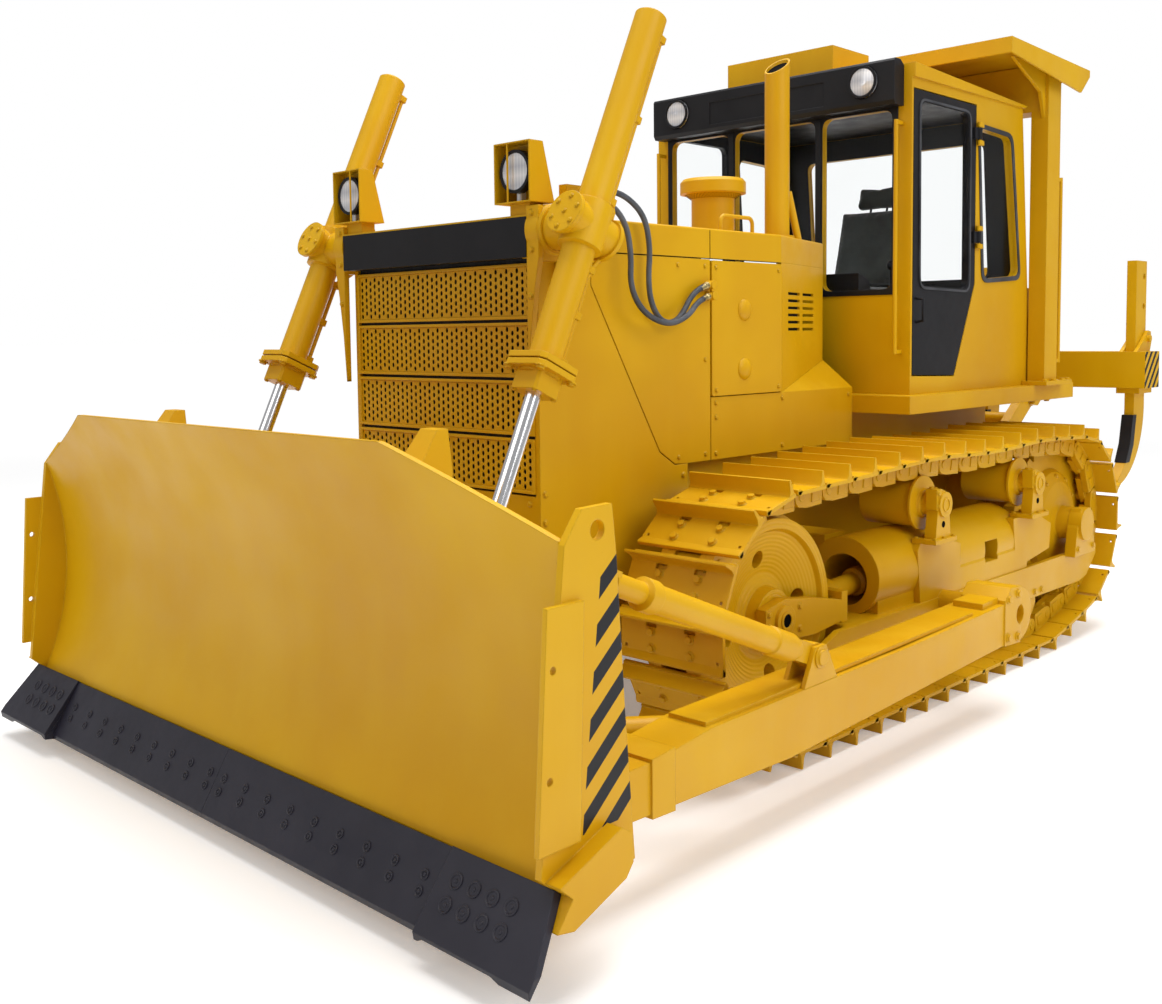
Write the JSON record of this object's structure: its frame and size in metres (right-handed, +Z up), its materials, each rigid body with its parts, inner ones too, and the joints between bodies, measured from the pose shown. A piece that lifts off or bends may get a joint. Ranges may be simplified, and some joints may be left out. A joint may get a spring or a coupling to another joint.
{
  "type": "crawler bulldozer",
  "caption": "Crawler bulldozer with a straight blade on push arms, two lift cylinders beside the radiator, a glazed cab under a roll-over canopy and a rear ripper.",
  "frame": {"origin": "on the ground, at the middle of the machine's width and of its length from blade to ripper", "axes": "+Z up, -Y forward (the blade's side), +X to the machine's left"},
  "size_m": [3.416, 6.284, 3.295],
  "materials": {
    "black_paint": "satin black enamel",
    "chrome": "polished",
    "edge_steel": "dark blue-black enamel",
    "engine": "painted cast iron",
    "glass": "clear",
    "lens": "clear lens over a reflector",
    "plastic": "matt",
    "seat": "woven black",
    "track_steel": "painted",
    "yellow": "semi-gloss enamel",
    "rubber": "ribbed"
  },
  "bodies": {
    "tractor": {"air_precleaner": "yellow", "cab_shell": "yellow", "cab_visor": "black_paint", "cab_windows": "glass", "carrier_rollers": "yellow", "controls": "plastic", "engine_block": "engine", "exhaust_stack": "yellow", "fenders": "yellow", "front_band": "black_paint", "fuel_tank": "yellow", "grille_panels": "yellow", "handrails": "yellow", "hood": "yellow", "idlers": "yellow", "lamps": "lens", "lower_hose": "rubber", "main_frame": "yellow", "operator_seat": "seat", "radiator_guard": "yellow", "rops_canopy": "yellow", "side_panels": "yellow", "sprockets": "yellow", "track_frames": "yellow", "track_left": "track_steel", "track_right": "track_steel", "track_rollers": "yellow", "upper_hose": "rubber"},
    "blade": {"moldboard": "yellow", "cutting_edges": "edge_steel", "end_bits": "edge_steel", "push_arms": "yellow", "blade_braces": "yellow"},
    "lift_cylinders": {"lift_barrels": "yellow"},
    "lift_cylinder_rods": {"lift_rods": "chrome"},
    "left_door": {"door_left": "black_paint", "door_left_glass": "glass"},
    "right_door": {"door_right": "black_paint", "door_right_glass": "glass"},
    "ripper_lower_arms": {"ripper_arms": "yellow"},
    "ripper_upper_links": {"ripper_links": "yellow"},
    "ripper": {"ripper_beam": "yellow", "ripper_shanks": "yellow"},
    "ripper_cylinders": {"ripper_barrels": "yellow"},
    "ripper_cylinder_rods": {"ripper_rods": "chrome"}
  },
  "joints": [
    {"name": "blade_lift", "type": "hinge", "parent": "tractor", "child": "blade", "pos_m": [0, 0.164, 0.46], "axis": [-1, 0, 0], "range_deg": [-9, 17]},
    {"name": "lift_cylinder_swing", "type": "hinge", "parent": "tractor", "child": "lift_cylinders", "pos_m": [0, -1.951, 2.145], "axis": [-1, 0, 0], "range_deg": [-5.68, 10.47]},
    {"name": "lift_rod_slide", "type": "slide", "parent": "lift_cylinders", "child": "lift_cylinder_rods", "axis": [0, -0.4161, -0.9093], "range_m": [-0.7909, 0.4206]},
    {"name": "left_door_swing", "type": "hinge", "parent": "tractor", "child": "left_door", "pos_m": [0.838, 1.076, 2.255], "axis": [0, 0, 1], "range_deg": [0, 100]},
    {"name": "right_door_swing", "type": "hinge", "parent": "tractor", "child": "right_door", "pos_m": [-0.838, 1.076, 2.255], "axis": [0, 0, -1], "range_deg": [0, 100]},
    {"name": "ripper_lift", "type": "hinge", "parent": "tractor", "child": "ripper_lower_arms", "pos_m": [0, 2.064, 0.84], "axis": [1, 0, 0], "range_deg": [-70, 5]},
    {"name": "ripper_link_swing", "type": "hinge", "parent": "tractor", "child": "ripper_upper_links", "pos_m": [0, 2.064, 1.34], "axis": [1, 0, 0], "range_deg": [-70.5, 5.5]},
    {"name": "ripper_beam_pivot", "type": "hinge", "parent": "ripper_lower_arms", "child": "ripper", "pos_m": [0, 2.764, 1.32], "axis": [1, 0, 0], "range_deg": [-5.5, 70.5]},
    {"name": "ripper_cylinder_swing", "type": "hinge", "parent": "tractor", "child": "ripper_cylinders", "pos_m": [0, 2.144, 1.85], "axis": [1, 0, 0], "range_deg": [-2.03, 0.42]},
    {"name": "ripper_rod_slide", "type": "slide", "parent": "ripper_cylinders", "child": "ripper_cylinder_rods", "axis": [0, 0.1954, -0.9807], "range_m": [-0.0288, 0.3515]}
  ],
  "couplings": [
    {"joint": "lift_cylinder_swing", "follows": "blade_lift", "ratio": 0.5981},
    {"joint": "lift_rod_slide", "follows": "blade_lift", "m_per_rad": -2.6521},
    {"joint": "ripper_link_swing", "follows": "ripper_lift", "ratio": 1},
    {"joint": "ripper_beam_pivot", "follows": "ripper_lift", "ratio": -1},
    {"joint": "ripper_cylinder_swing", "follows": "ripper_lift", "ratio": 0.02469},
    {"joint": "ripper_rod_slide", "follows": "ripper_lift", "m_per_rad": -0.2844}
  ]
}
